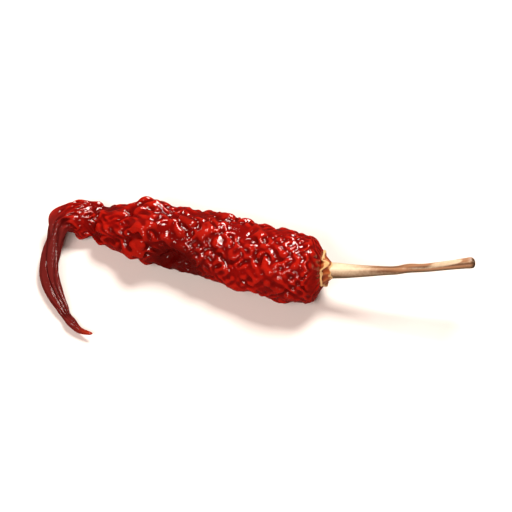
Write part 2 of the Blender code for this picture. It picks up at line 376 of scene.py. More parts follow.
@dataclass(frozen=True)
class DriedCalyxLeaf:
    """Papery dried calyx: an orange-brown face, darker between its ribs, with a bleached cream rim."""

    face: str = "#A84A16"
    rib: str = "#B86630"
    fold: str = "#64290F"
    rim: str = "#D4AE74"
    roughness: float = 0.5
    grain_size: float = 1.1  # mm: coarser than the leaf's own veins, which would be too fine to show
    grain_depth: float = 0.12  # mm
    grain_strength: float = 0.6
    fraying: float = 1.6
    rim_from: float = 0.25
    rim_full: float = 0.6

    def material(self) -> bpy.types.Material:
        """Builds the calyx's leaf: its ribs and its torn rim are paler than the face.

        Returns:
            The material.
        """
        # Dead, sun-dried leaf gives a matt, mottled orange-brown, palest on its thin rim and its ribs
        material, tree, shader = start_material("dried calyx leaf")
        place = add_node(tree, "TexCoord").outputs["Object"]
        rim, rib = (
            add_node(tree, "Attribute", attribute_name=mark).outputs["Fac"] for mark in ("rim", "rib")
        )
        grain = add_node(
            tree, "TexNoise", {"Vector": place, "Scale": 1 / (self.grain_size * MM), "Detail": 5.0}
        ).outputs["Fac"]
        brown = {FACTOR: grain, LOW: linear(self.fold), HIGH: linear(self.face)}
        tint = add_node(tree, "Mix", brown, data_type="RGBA").outputs[BLEND]
        uneven = add_node(tree, "Math", {0: grain, 1: -0.5}, operation="ADD").outputs[0]
        torn = {0: uneven, 1: self.fraying, 2: rim}
        torn = add_node(tree, "Math", torn, operation="MULTIPLY_ADD").outputs[0]
        torn = {"Value": torn, "From Min": self.rim_from, "From Max": self.rim_full}
        torn = add_node(tree, "MapRange", torn).outputs[0]
        for where, tone in ((rib, self.rib), (torn, self.rim)):
            layer = {FACTOR: where, LOW: tint, HIGH: linear(tone)}
            tint = add_node(tree, "Mix", layer, data_type="RGBA").outputs[BLEND]
        tree.links.new(tint, shader.inputs["Base Color"])
        relief = {"Height": grain, "Strength": self.grain_strength, "Distance": self.grain_depth * MM}
        tree.links.new(add_node(tree, "Bump", relief).outputs[0], shader.inputs["Normal"])
        shader.inputs["Roughness"].default_value = self.roughness
        return material


@dataclass(frozen=True)
class StrawStalk:
    """Dry, woody straw stalk: tan and brown, painted cream on its upper side as light, with pale patches
    there that are partly bleaching and partly painted highlight, and painted grey underneath as shade.
    """

    bleached_and_lit: str = "#D6C4A4"
    straw: str = "#9A6E4B"
    shade: str = "#553A24"
    # painted shade for the stalk's underside
    underside_shade: str = "#5E563C"
    scar: str = "#352517"
    roughness: float = 0.42
    grain_size: float = 0.7  # mm
    grain_depth: float = 0.08  # mm
    grain_strength: float = 0.4
    pale_unevenness: float = 0.7
    pale_from: float = 0.1
    pale_full: float = 0.95

    def material(self) -> bpy.types.Material:
        """Builds the stalk, with fibres that run lengthwise, its upper side painted pale as light with
        pale patches, its underside painted grey as shade, and a dark scar.

        Returns:
            The material.
        """
        # Dry, stringy straw gives lengthwise streaks of tan and brown with a slight silky shine. Its
        # upper side is painted pale cream as light, in patches that are partly bleaching, and its
        # underside grey as painted shade.
        material, tree, shader = start_material("dry straw stalk")
        place = add_node(tree, "TexCoord").outputs["Object"]
        pale, fibre, scar, under = (
            add_node(tree, "Attribute", attribute_name=mark).outputs["Fac"]
            for mark in ("pale", "fibre", "scar", "under")
        )
        grain = add_node(
            tree, "TexNoise", {"Vector": place, "Scale": 1 / (self.grain_size * MM), "Detail": 5.0}
        ).outputs["Fac"]
        brown = {FACTOR: fibre, LOW: linear(self.shade), HIGH: linear(self.straw)}
        tint = add_node(tree, "Mix", brown, data_type="RGBA").outputs[BLEND]
        uneven = add_node(tree, "Math", {0: grain, 1: -0.5}, operation="ADD").outputs[0]
        lit_and_bleached_mask = {0: uneven, 1: self.pale_unevenness, 2: pale}
        lit_and_bleached_mask = add_node(tree, "Math", lit_and_bleached_mask, operation="MULTIPLY_ADD").outputs[0]
        lit_and_bleached_mask = {"Value": lit_and_bleached_mask, "From Min": self.pale_from, "From Max": self.pale_full}
        lit_and_bleached_mask = add_node(tree, "MapRange", lit_and_bleached_mask).outputs[0]
        # Painted light and shade: the upper side goes pale cream as light, the underside grey as shade;
        # the scar is the stalk's own dark end
        for where, tone in ((lit_and_bleached_mask, self.bleached_and_lit), (under, self.underside_shade), (scar, self.scar)):
            layer = {FACTOR: where, LOW: tint, HIGH: linear(tone)}
            tint = add_node(tree, "Mix", layer, data_type="RGBA").outputs[BLEND]
        tree.links.new(tint, shader.inputs["Base Color"])
        relief = {"Height": grain, "Strength": self.grain_strength, "Distance": self.grain_depth * MM}
        tree.links.new(add_node(tree, "Bump", relief).outputs[0], shader.inputs["Normal"])
        shader.inputs["Roughness"].default_value = self.roughness
        return material


@dataclass(frozen=True)
class PaleCard:
    """Matt pale card that the pepper is set down on."""

    tone: str = "#E6E2DE"
    roughness: float = 0.9
    gloss: float = 0.1

    def material(self) -> bpy.types.Material:
        """Builds the card of the floor.

        Returns:
            The material.
        """
        # Uncoated card gives an even, pale, shineless ground that shows nothing but the shadow
        material, _, shader = start_material("matt pale card")
        shader.inputs["Base Color"].default_value = linear(self.tone)
        shader.inputs["Roughness"].default_value = self.roughness
        shader.inputs["Specular IOR Level"].default_value = self.gloss
        return material


# ---------------------------------------------------------------- pod


@dataclass
class PodForm:
    """The pod's plain form, nearly the same as the CAD's: its line, its girth and its large folds."""

    body_length: float = 66.0
    body_half_width: float = 8.4
    tail_length: float = 37.0
    tail_half_width: float = 2.1
    crown_depth: float = 4.4
    tip_depth: float = 0.8
    belly_press: float = 0.045
    walk_step: float = 0.1
    facing_reach: float = 3.0  # how far to each side the line is read to turn a ring
    tail_ribs: int = 3
    tail_rib_depth: float = 0.17  # as a share of the radius
    tail_rib_fade: float = 0.2  # share of the tail over which the ribs set in
    tail_twist: float = 150.0
    furrow_fade: float = 0.12  # share of the body over which a furrow sets in and runs out

    body_heading: Table = (
        (0.0, 172.0), (0.10, 168.0), (0.20, 159.0), (0.29, 157.0), (0.39, 157.0), (0.49, 166.0),
        (0.60, 166.0), (0.70, 163.0), (0.78, 160.0), (0.85, 155.0), (0.92, 174.0), (0.97, 190.0),
    )
    tail_heading: Table = (
        (0.04, 220.0), (0.10, 248.0), (0.20, 261.0), (0.34, 267.0), (0.47, 282.0), (0.60, 293.0),
        (0.73, 299.0), (0.84, 309.0), (0.94, 331.0), (1.0, 345.0),
    )
    body_girth: Table = (
        (0.0, 0.90), (0.07, 0.94), (0.15, 1.0), (0.34, 1.0), (0.44, 0.96), (0.54, 0.92), (0.61, 0.91),
        (0.67, 0.92), (0.73, 0.81), (0.80, 0.67), (0.88, 0.52), (0.95, 0.50),
    )
    tail_girth: Table = (
        (0.05, 1.35), (0.16, 0.98), (0.29, 0.95), (0.43, 0.99), (0.55, 0.90), (0.69, 0.70), (0.76, 0.50),
        (0.81, 0.54), (0.92, 0.32), (1.0, 0.15),
    )
    body_flatness: Table = ((0.0, 1.0), (0.10, 0.97), (0.25, 0.88), (0.80, 0.87))
    tail_flatness: Table = ((0.05, 0.87), (0.30, 0.80), (1.0, 0.80))
    body_lift: Table = ((0.0, 1.1), (0.06, 0.4), (0.14, 0.0), (0.80, 0.0), (0.88, 0.05), (0.95, 0.6))
    tail_lift: Table = (
        (0.05, 2.0), (0.16, 2.4), (0.29, 1.6), (0.43, 0.6), (0.55, 0.0), (0.69, 0.0), (0.80, 0.4),
        (0.92, 1.0), (1.0, 1.8),
    )
    # Lengthwise furrows: mean angle, wander, wave length in mm, half angle, depth as a share of the
    # radius, and where they begin and end as shares of the body
    furrows: Rows = (
        (62.0, 15.0, 41.0, 20.0, 0.06, 0.10, 0.62),
        (118.0, 12.0, 33.0, 20.0, 0.08, 0.30, 0.98),
        (22.0, 13.0, 37.0, 20.0, 0.07, 0.45, 0.97),
        (188.0, 17.0, 45.0, 20.0, 0.08, 0.08, 0.90),
        (-42.0, 12.0, 39.0, 18.0, 0.06, 0.12, 0.80),
    )
    # Hollows: place as a share of the body, half length in mm, angle, half angle, depth as for furrows
    hollows: Rows = (
        (0.585, 4.6, 12.0, 34.0, 0.15),
        (0.30, 5.5, 92.0, 26.0, 0.07),
        (0.74, 3.2, 70.0, 30.0, 0.09),
        (0.93, 2.6, 40.0, 34.0, 0.10),
    )

    places: np.ndarray = field(init=False)
    plan: np.ndarray = field(init=False)

    def __post_init__(self) -> None:
        """Walks the centre line, seen from above."""
        count = round(self.length / self.walk_step)
        step = self.length / count
        table = self.along(self.body_heading, self.tail_heading)
        heading = read_curve(table, (np.arange(count) + 0.5) * step)
        self.places = np.arange(count + 1) * step
        self.plan = walk(np.zeros(3), heading, np.zeros(count), step)

    @property
    def length(self) -> float:
        """The length of the centre line."""
        return self.body_length + self.tail_length

    def along(
        self, body: Table, tail: Table, body_unit: float = 1.0, tail_unit: float = 1.0
    ) -> list[tuple[float, float]]:
        """Joins a table in shares of the body to one in shares of the tail.

        Args:
            body: The body's stations.
            tail: The tail's stations.
            body_unit: What 1 stands for in the body's values.
            tail_unit: What 1 stands for in the tail's values.

        Returns:
            One table in mm from the crown.
        """
        return [(self.body_length * share, value * body_unit) for share, value in body] + [
            (self.body_length + self.tail_length * share, value * tail_unit) for share, value in tail
        ]

    def full_half_width(self, place: np.ndarray) -> np.ndarray:
        """Gives half the width, without the rounding off at the ends."""
        table = self.along(self.body_girth, self.tail_girth, self.body_half_width, self.tail_half_width)
        return read_curve(table, place)

    def flatness(self, place: np.ndarray) -> np.ndarray:
        """Gives the height of the section over its width."""
        return read_curve(self.along(self.body_flatness, self.tail_flatness), place)

    def rounding(self, place: np.ndarray) -> np.ndarray:
        """Rounds off the crown and the tip.

        Args:
            place: Distances along the pod.

        Returns:
            A share of the radius that falls from 1 to 0 over each end.
        """
        crown = np.clip(place / self.crown_depth, 0.0, 1.0)
        tip = np.clip((self.length - place) / self.tip_depth, 0.0, 1.0)
        return dome(crown) * dome(tip)

    def centre(self, place: np.ndarray) -> np.ndarray:
        """Finds the centre line, at the height where the belly lies on the floor.

        Args:
            place: Distances along the pod.

        Returns:
            A point for each place.
        """
        half_height = self.full_half_width(place) * self.flatness(place)
        lift = read_curve(self.along(self.body_lift, self.tail_lift), place)
        plan = [np.interp(place, self.places, self.plan[:, axis]) for axis in range(2)]
        return np.column_stack((*plan, half_height * (1 - self.belly_press) + lift))

    def frames(self, place: np.ndarray) -> tuple[np.ndarray, np.ndarray, np.ndarray]:
        """Finds where a ring of the wall stands and how it is turned.

        Args:
            place: Distances along the pod.

        Returns:
            The centre, the sideways and the upward unit vector at each place.
        """
        ahead = self.centre(np.minimum(place + self.facing_reach, self.length))
        behind = self.centre(np.maximum(place - self.facing_reach, 0.0))
        tangent = ahead - behind
        tangent /= np.linalg.norm(tangent, axis=1)[:, None]
        side = np.cross(UPWARD, tangent)
        side /= np.linalg.norm(side, axis=1)[:, None]
        return self.centre(place), side, np.cross(tangent, side)

    def folds(self, place: np.ndarray, angle: np.ndarray) -> np.ndarray:
        """Gives the share of the radius by which furrows, hollows and ribs move the wall.

        Args:
            place: Distances along the pod, as a column.
            angle: Angles round it, as a row; 90 is its top.

        Returns:
            The share, one row for each place.
        """
        share = place / self.body_length
        form = np.zeros(np.broadcast_shapes(place.shape, angle.shape))
        for middle, wander, wave, half_angle, depth, begins, ends in self.furrows:
            path = middle + wander * np.sin(2 * math.pi * place / wave + math.radians(middle))
            fade = np.clip(np.minimum(share - begins, ends - share) / self.furrow_fade, 0.0, 1.0)
            form = form - depth * fade * np.exp(-((angle_between(angle, path) / half_angle) ** 2))
        for middle, half_length, towards, half_angle, depth in self.hollows:
            along = (place - middle * self.body_length) / half_length
            around = angle_between(angle, towards) / half_angle
            form = form - depth * np.exp(-(along**2) - around**2)
        tail_share = np.clip((place - self.body_length) / self.tail_length, 0.0, 1.0)
        ribs = np.cos(np.radians(self.tail_ribs * (angle + self.tail_twist * tail_share)))
        return form + self.tail_rib_depth * np.clip(tail_share / self.tail_rib_fade, 0.0, 1.0) * ribs

    def wall(self, place: np.ndarray, angle: np.ndarray) -> np.ndarray:
        """Gives points of the wall.

        Args:
            place: Distances along the pod.
            angle: Angles round it.

        Returns:
            One row of points for each place.
        """
        centre, side, up = self.frames(place)
        radius = (self.full_half_width(place) * self.rounding(place))[:, None]
        radius = radius * (1 + self.folds(place[:, None], angle[None, :]))
        wide = radius * np.cos(np.radians(angle))
        tall = radius * np.sin(np.radians(angle)) * self.flatness(place)[:, None]
        return centre[:, None] + wide[..., None] * side[:, None] + tall[..., None] * up[:, None]

    def crown_frame(self, shift: np.ndarray) -> Matrix:
        """Gives the crown's pole in mm, with its Z axis pointing out of the pod along the stem.

        Args:
            shift: The way from the form's own frame to the row frame.

        Returns:
            The frame as a matrix.
        """
        centre, side, up = self.frames(np.array([0.0]))
        turned = Matrix((up[0], side[0], np.cross(up[0], side[0]))).transposed().to_4x4()
        turned.translation = Vector(centre[0] + shift)
        return turned

    def crown_drop(self, radius: float) -> float:
        """Says how far the round crown has fallen from its pole at a radius about the pod's axis."""
        widest = self.body_girth[0][1] * self.body_half_width
        return self.crown_depth * (1 - math.sqrt(1 - min(radius / widest, 1.0) ** 2))


@dataclass(frozen=True)
class BucklingStage:
    """One round of wrinkling: how much too long the film is, and how firmly the flesh holds it."""

    coarseness: int  # every how many points of the full grid the film has one
    excess: float  # mean share by which the film is too long
    excess_spread: float  # how much that share varies from patch to patch
    patch: float  # size in mm of the patches that have shrunk more or less
    hold: float  # how firmly the flesh pulls the film back
    hold_spread: float  # how much that varies from patch to patch
    seeds: Table  # size in mm and height in mm of the unevenness that it starts from
    steps: int
    towards_tail: float  # by what share it is stronger at the body's far end than by the calyx
    on_tail: float  # its strength on the tail


@dataclass
class ShrivelledFilm:
    """A thin film, too long for the flesh that it covers, which buckles into wrinkles as it settles."""

    bend: float = 0.33  # how strongly the film resists sharp folds
    stretch: float = 0.25  # how strongly it keeps its own length
    shear_hold: float = 0.004  # how strongly it stays over the same spot of flesh
    keep: float = 0.85  # share of the motion that goes on from step to step
    most_excess: float = 0.7  # the most that the film may be too long anywhere
    pinned_rings: int = 2  # rings at each end that stay where they are

    def spread(self, points: np.ndarray) -> np.ndarray:
        """Fills in a grid to twice its fineness, with a smooth curve through its points.

        Args:
            points: The coarse grid: rows are open, and columns close on themselves.

        Returns:
            The grid with a new row and a new column between each two.
        """
        # A cubic through four neighbours, halfway: 9/16 of the middle two, less 1/16 of the outer two
        before, after = np.roll(points, 1, axis=1), np.roll(points, -1, axis=1)
        middle = (9 * (points + after) - before - np.roll(points, -2, axis=1)) / 16
        wide = np.stack((points, middle), axis=2).reshape(points.shape[0], -1, points.shape[2])
        padded = np.concatenate((wide[:1], wide, wide[-1:]))
        middle = (9 * (padded[1:-2] + padded[2:-1]) - padded[:-3] - padded[3:]) / 16
        tall = np.empty((2 * wide.shape[0] - 1, *wide.shape[1:]), wide.dtype)
        tall[::2], tall[1::2] = wide, middle
        return tall

    def settle(self, base: np.ndarray, stage: BucklingStage, slack: np.ndarray, seed: int) -> np.ndarray:
        """Lets the film buckle on a base form until it comes to rest.

        Args:
            base: The form that the film covers, one row of points for each ring.
            stage: What kind of wrinkles it makes.
            slack: How much of the stage's excess length the film has at each point, from 0 to 1.
            seed: The number that its unevenness is drawn from.

        Returns:
            The points of the film at rest.
        """
        base = base.astype(np.float32)
        normal = surface_normals(base).astype(np.float32)
        start = sum(height * swell(seed + i, base, size) for i, (size, height) in enumerate(stage.seeds))
        excess = stage.excess + stage.excess_spread * swell(seed + 11, base, stage.patch)
        excess = (np.clip(excess, 0.0, self.most_excess) * slack).astype(np.float32)
        hold = stage.hold * np.exp(stage.hold_spread * swell(seed + 12, base, 2 * stage.patch))
        hold = hold.astype(np.float32)
        film = base + normal * (start * slack)[..., None].astype(np.float32)
        moving = np.zeros_like(film)
        links = ((1, 0), (0, 1), (1, 1), (1, -1))  # rows down and columns across to the neighbours
        lengths = []
        for down, across in links:
            there = np.roll(base, -across, axis=1)[down:]
            length = np.linalg.norm(there - base[: len(there)], axis=2)
            lengths.append(length * (1 + excess[: len(there)]))
        flat_along = base[2:] + base[:-2] - 2 * base[1:-1]
        flat_around = np.roll(base, -1, axis=1) + np.roll(base, 1, axis=1) - 2 * base
        for _ in range(stage.steps):
            push = np.zeros_like(film)
            for (down, across), length in zip(links, lengths):
                there = np.roll(film, -across, axis=1)[down:]
                apart = there - film[: len(there)]
                now = np.sqrt(np.einsum("ijk,ijk->ij", apart, apart)) + 1e-9
                pull = apart * (0.5 * self.stretch * (1 - length / now))[..., None]
                push[: len(there)] += pull
                push[down:] -= np.roll(pull, across, axis=1)
            bent = film[2:] + film[:-2] - 2 * film[1:-1] - flat_along
            push[1:-1] += self.bend * 0.25 * bent
            push[2:] -= self.bend * 0.125 * bent
            push[:-2] -= self.bend * 0.125 * bent
            bent = np.roll(film, -1, axis=1) + np.roll(film, 1, axis=1) - 2 * film - flat_around
            beside = np.roll(bent, 1, axis=1) + np.roll(bent, -1, axis=1)
            push += self.bend * (0.25 * bent - 0.125 * beside)
            off = film - base
            height = np.einsum("ijk,ijk->ij", off, normal)
            push -= normal * (hold * height)[..., None] + self.shear_hold * off
            moving = self.keep * moving + push
            film = film + moving
            film[: self.pinned_rings] = base[: self.pinned_rings]
            film[-self.pinned_rings :] = base[-self.pinned_rings :]
            film[..., 2] = np.maximum(film[..., 2], 0.0)
        return film


@dataclass
class PodSkin:
    """The pod: its plain form, covered with wrinkled skin and marked for its colours."""

    form: PodForm = field(default_factory=PodForm)
    film: ShrivelledFilm = field(default_factory=ShrivelledFilm)
    finish: DriedChilliSkin = field(default_factory=DriedChilliSkin)
    sides: int = 220
    rings: int = 433
    crown_rings: int = 36
    tip_rings: int = 4
    seed: int = 5
    form_softness: float = 0.12  # height in mm over which the plain form eases into its flat underside
    skin_softness: float = 0.05  # and the wrinkled skin
    smooth_crown: tuple[float, float] = (0.25, 1.3)  # mm from the pole: first wrinkles, and full ones
    tail_from: float = 2.0  # mm before the body's end where the tail's colour begins
    tail_full: float = 5.0  # mm after it where the tail is all tail
    tip_from: float = 6.0  # mm before the tip where its paler colour begins
    tip_full: float = 1.5  # mm past the tip where it would be full
    pleat_from: float = 3.0  # mm before the body's end where the tail's pleats begin
    pleat_depth: float = 0.45
    pleat_width: float = 2.2
    pleat_stretch: float = 9.0  # how many times longer than wide a pleat is
    pleat_twist: float = 2.0  # degrees for each mm
    ridge_passes: int = 24  # how many times the wall is smoothed to see what stands over it
    ridge_range: float = 3.2  # the height from crease to crest, in standard deviations
    # Painted shade on the dented waist, which faces down away from the light: place as a share of the
    # body, half length in mm, angle, half angle, strength
    waist_shade: tuple[float, ...] = (0.53, 8.0, -10.0, 62.0, 1.5)
    fold_shade_from: float = 0.05  # depth of a fold, as a share of the radius, from which it is painted darker as shade
    stages: tuple[BucklingStage, ...] = (
        BucklingStage(
            coarseness=4, excess=0.05, excess_spread=0.09, patch=6.0, hold=0.004, hold_spread=0.5,
            seeds=((4.0, 0.2), (9.0, 0.2)), steps=120, towards_tail=0.4, on_tail=0.25,
        ),
        BucklingStage(
            coarseness=2, excess=0.06, excess_spread=0.12, patch=4.0, hold=0.006, hold_spread=1.2,
            seeds=((1.6, 0.2), (2.5, 0.2)), steps=80, towards_tail=0.7, on_tail=0.3,
        ),
        BucklingStage(
            coarseness=1, excess=0.14, excess_spread=0.12, patch=2.5, hold=0.005, hold_spread=1.0,
            seeds=((0.9, 0.11), (1.4, 0.1)), steps=110, towards_tail=0.0, on_tail=0.0,
        ),
    )

    def ring_places(self) -> np.ndarray:
        """Gives distances along the pod for its rings, closer where the ends round off."""
        crown = self.form.crown_depth * (1 - np.cos(np.radians(np.linspace(0.0, 90.0, self.crown_rings))))
        tip = self.form.length - self.form.tip_depth * (
            1 - np.cos(np.radians(np.linspace(90.0, 0.0, self.tip_rings)))
        )
        count = self.rings - self.crown_rings - self.tip_rings
        return np.concatenate((crown, np.linspace(crown[-1], tip[0], count + 2)[1:-1], tip))

    def row_shift(self) -> np.ndarray:
        """Gives the way from the form's own frame to the row frame, from the CAD pod's box."""
        low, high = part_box("pod")
        plain = self.form.wall(self.ring_places(), ring_angles(self.sides))
        middle = (plain.min((0, 1)) + plain.max((0, 1))) / 2
        wanted = (np.array(low) + np.array(high)) / 2 / MM
        return np.array([*(wanted - middle)[:2], 0.0])

    def lay_down(self, points: np.ndarray, softness: float) -> np.ndarray:
        """Presses what lies under the floor up to it.

        Args:
            points: Points of the pod.
            softness: Over what height in mm the wall eases into the flat.

        Returns:
            The points, none of them under the floor.
        """
        pressed = points.copy()
        pressed[..., 2] = np.logaddexp(0.0, points[..., 2] / softness) * softness
        pressed[..., 2] -= pressed[..., 2].min()
        return pressed

    def slack(self, stage: BucklingStage, place: np.ndarray) -> np.ndarray:
        """Says how much a stage wrinkles each ring: little by the calyx, and less on the taut tail.

        Args:
            stage: The round of wrinkling.
            place: Distances along the pod.

        Returns:
            A share for each ring.
        """
        crown = ease(*self.smooth_crown, place)
        tail = ease(self.form.body_length, self.form.body_length + self.tail_full, place)
        body = 1.0 + stage.towards_tail * (place / self.form.body_length - 0.5)
        return crown * ((1 - tail) * body + tail * stage.on_tail)

    def wrinkled(self, place: np.ndarray, angle: np.ndarray) -> np.ndarray:
        """Covers the plain form with a film and lets it buckle, coarsely first and finely after.

        Args:
            place: Distances along the pod.
            angle: Angles round it.

        Returns:
            The wrinkled wall.
        """
        base = self.lay_down(self.form.wall(place, angle), self.form_softness)
        level = self.stages[0].coarseness
        moved = np.zeros_like(base[::level, ::level])
        for number, stage in enumerate(self.stages):
            while level > stage.coarseness:
                moved = self.film.spread(moved)
                level //= 2
            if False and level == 1:
                break
            under = base[::level, ::level] + moved
            slack = self.slack(stage, place[::level])[:, None] * np.ones(under.shape[:2])
            film = self.film.settle(under, stage, slack, self.seed + 20 * number)
            moved = film - base[::level, ::level]
        while level > 1:
            moved = self.film.spread(moved)
            level //= 2
        moved += surface_normals(base) * self.tail_pleats(place, angle)[..., None]
        return self.lay_down(base + moved, self.skin_softness)

    def tail_pleats(self, place: np.ndarray, angle: np.ndarray) -> np.ndarray:
        """Gathers the collapsed tail into sharp lengthwise pleats.

        Args:
            place: Distances along the pod.
            angle: Angles round it.

        Returns:
            How far the pleats move the wall outwards, in mm.
        """
        body, radius = self.form.body_length, self.form.tail_half_width
        turn = np.radians(angle[None, :] + self.pleat_twist * (place[:, None] - body))
        along = np.broadcast_to(place[:, None] / self.pleat_stretch, turn.shape)
        rolled = np.stack((radius * np.cos(turn), radius * np.sin(turn), along), axis=2)
        crease = np.abs(swell(self.seed + 90, rolled, self.pleat_width))
        strength = ease(body - self.pleat_from, body + self.tail_full, place) * self.form.rounding(place)
        width = np.sqrt(self.form.full_half_width(place) / radius)
        return (strength * width)[:, None] * self.pleat_depth * (np.minimum(crease, 1.0) - 0.6)

    def ridges(self, points: np.ndarray) -> np.ndarray:
        """Measures how far each point stands over the wall round it.

        Args:
            points: The wrinkled wall.

        Returns:
            0 in the creases, 1 on the crests.
        """
        smooth = points
        for _ in range(self.ridge_passes):
            rows = np.concatenate((smooth[:1], smooth, smooth[-1:]))
            beside = np.roll(smooth, 1, axis=1) + np.roll(smooth, -1, axis=1)
            smooth = (2 * smooth + rows[2:] + rows[:-2] + beside) / 6
        height = np.einsum("ijk,ijk->ij", points - smooth, surface_normals(smooth))
        return np.clip(0.5 + height / (self.ridge_range * height.std()), 0.0, 1.0)

    def marks(self, points: np.ndarray, place: np.ndarray, angle: np.ndarray) -> dict[str, np.ndarray]:
        """Marks the skin for its colours.

        Args:
            points: The wrinkled wall.
            place: Distances along the pod.
            angle: Angles round it.

        Returns:
            The marks by name, each with a value for each point.
        """
        body, length = self.form.body_length, self.form.length
        along = np.broadcast_to(place[:, None], points.shape[:2])
        middle, half_length, towards, half_angle, strength = self.waist_shade
        around = angle_between(angle, towards)[None, :] / half_angle
        waist_shade_mask = np.exp(-(((along - middle * body) / half_length) ** 2) - around**2)
        folds = self.form.folds(place[:, None], angle[None, :])
        shaded = np.clip(-folds - self.fold_shade_from, 0.0, 1.0)
        return {
            "ridge": self.ridges(points),
            # Painted shade: the dented waist, which faces down, and the deep folds are painted dark
            "painted_shade": np.clip(strength * waist_shade_mask + shaded, 0.0, 1.0),
            "tail": ease(body - self.tail_from, body + self.tail_full, along),
            "tip": ease(length - self.tip_from, length + self.tip_full, along),
        }

    def build(self) -> bpy.types.Object:
        """Makes the pod.

        Returns:
            The piece that stands for the CAD's pod.
        """
        place, angle = self.ring_places(), ring_angles(self.sides)
        points = self.wrinkled(place, angle)
        mesh = tube_mesh("pod_skin", points + self.row_shift(), self.marks(points, place, angle))
        return set_piece("pod_skin", mesh, self.finish.material(), "pod")


# ---------------------------------------------------------------- calyx and stem


@dataclass
class CalyxCup:
    """The dried calyx: a thin cup on the crown, drawn in to the stem, with five curled teeth."""

    pod: PodSkin
    finish: DriedCalyxLeaf = field(default_factory=DriedCalyxLeaf)
    radius: float = 4.2
    thickness: float = 0.45
    rim_bulge: float = 0.2  # how far the rim's edge stands out, as a share of the thickness
    seat_sink: float = 0.1
    neck_radius: float = 1.75
    neck_height: float = 2.3
    neck_flare: float = 1.9
    # Teeth: angle about the stem's axis from the pod's top, half width, reach and curl off the pod in mm
    teeth: Rows = (
        (14.0, 30.0, 1.1, 2.3), (88.0, 34.0, 0.9, 0.5), (160.0, 32.0, 1.0, 0.9), (232.0, 34.0, 0.8, 0.5),
        (304.0, 30.0, 1.2, 0.8),
    )
    gap_draw: float = 0.55  # how far the rim between the teeth is drawn in
    ribs: int = 10
    rib_turn: float = 14.0
    rib_height: float = 0.16
    crinkle: float = 0.13
    crinkle_size: float = 1.7
    crinkle_seed: int = 61
    rim_share: float = 0.28  # share of the face that the pale rim takes
    neck_share: float = 0.3  # and the pale neck
    turns: int = 180
    profile_steps: int = 26

    def half_section(self) -> list[tuple[float, float]]:
        """Draws the half section, from the stem down its outside to the rim and back under to the axis.

        Returns:
            Pairs of radius and height over the crown's pole.
        """
        outside = []
        for share in np.linspace(0.0, 1.0, self.profile_steps):
            radius = self.neck_radius + (self.radius - self.neck_radius) * share
            neck = (self.neck_height - self.thickness) * (1 - share) ** self.neck_flare
            outside.append((radius, self.thickness + neck - self.pod.form.crown_drop(radius)))
        edge = self.radius + self.rim_bulge * self.thickness
        rim = edge, 0.5 * self.thickness - self.pod.form.crown_drop(self.radius)
        radii = np.linspace(self.radius, 0.0, self.profile_steps)
        seat = [(radius, -self.seat_sink - self.pod.form.crown_drop(radius)) for radius in radii]
        return [(0.0, outside[0][1]), *outside, rim, *seat]

    def shape_leaf(self, build: bmesh.types.BMesh) -> None:
        """Pulls the turned cup out into teeth, ribs its face and marks it for its colours.

        Args:
            build: The turned cup, with its axis on Z and its lengths in mm.
        """
        rim_mark = build.verts.layers.float.new("rim")
        rib_mark = build.verts.layers.float.new("rib")
        corners = build.verts[:]
        x, y, z = np.array([corner.co for corner in corners], float).T
        radius, angle = np.hypot(x, y), np.degrees(np.arctan2(y, x))
        reach = np.clip((radius - self.neck_radius) / (self.radius - self.neck_radius), 0.0, 1.1)
        out, curl = -self.gap_draw * reach**2, np.zeros_like(reach)
        for middle, half_width, length, lift in self.teeth:
            tooth = np.clip(1 - np.abs(angle_between(angle, middle)) / half_width, 0.0, 1.0)
            out += length * tooth**1.2 * reach**2
            curl += lift * ease(0.15, 1.0, tooth) * reach**4
        drop = np.vectorize(self.pod.form.crown_drop)
        rib = 0.5 + 0.5 * np.cos(np.radians(self.ribs * (angle - self.rib_turn)))
        face = np.sin(math.pi * np.clip(reach, 0.0, 1.0)) ** 0.7
        rough = swell(self.crinkle_seed, np.column_stack((x, y, z)), self.crinkle_size)
        rough = self.crinkle * rough * ease(0.0, 0.5, reach)
        height = z + drop(radius) - drop(radius + out) + curl + self.rib_height * rib * face + rough
        grow = (radius + out) / np.maximum(radius, 1e-6)
        for i, corner in enumerate(corners):
            corner.co = (x[i] * grow[i], y[i] * grow[i], height[i])
            on_rim = (reach[i] - (1 - self.rim_share)) / self.rim_share
            corner[rim_mark] = max(on_rim, 1 - reach[i] / self.neck_share, 0.0)
            corner[rib_mark] = rib[i] ** 3 * face[i]

    def build(self) -> bpy.types.Object:
        """Makes the calyx.

        Returns:
            The piece that stands for the CAD's calyx.
        """
        build = bmesh.new()
        corners = [build.verts.new((radius, 0.0, height)) for radius, height in self.half_section()]
        edges = [build.edges.new(pair) for pair in zip(corners, corners[1:])]
        bmesh.ops.spin(
            build, geom=corners + edges, cent=(0, 0, 0), axis=(0, 0, 1), angle=2 * math.pi,
            steps=self.turns, use_merge=True, use_duplicate=False,
        )
        bmesh.ops.remove_doubles(build, verts=build.verts[:], dist=1e-4)
        bmesh.ops.recalc_face_normals(build, faces=build.faces[:])
        self.shape_leaf(build)
        crown = self.pod.form.crown_frame(self.pod.row_shift())
        bmesh.ops.transform(build, matrix=Matrix.Scale(MM, 4) @ crown, verts=build.verts[:])
        mesh = bpy.data.meshes.new("calyx_cup")
        build.to_mesh(mesh)
        build.free()
        return set_piece("calyx_cup", mesh, self.finish.material(), "calyx")


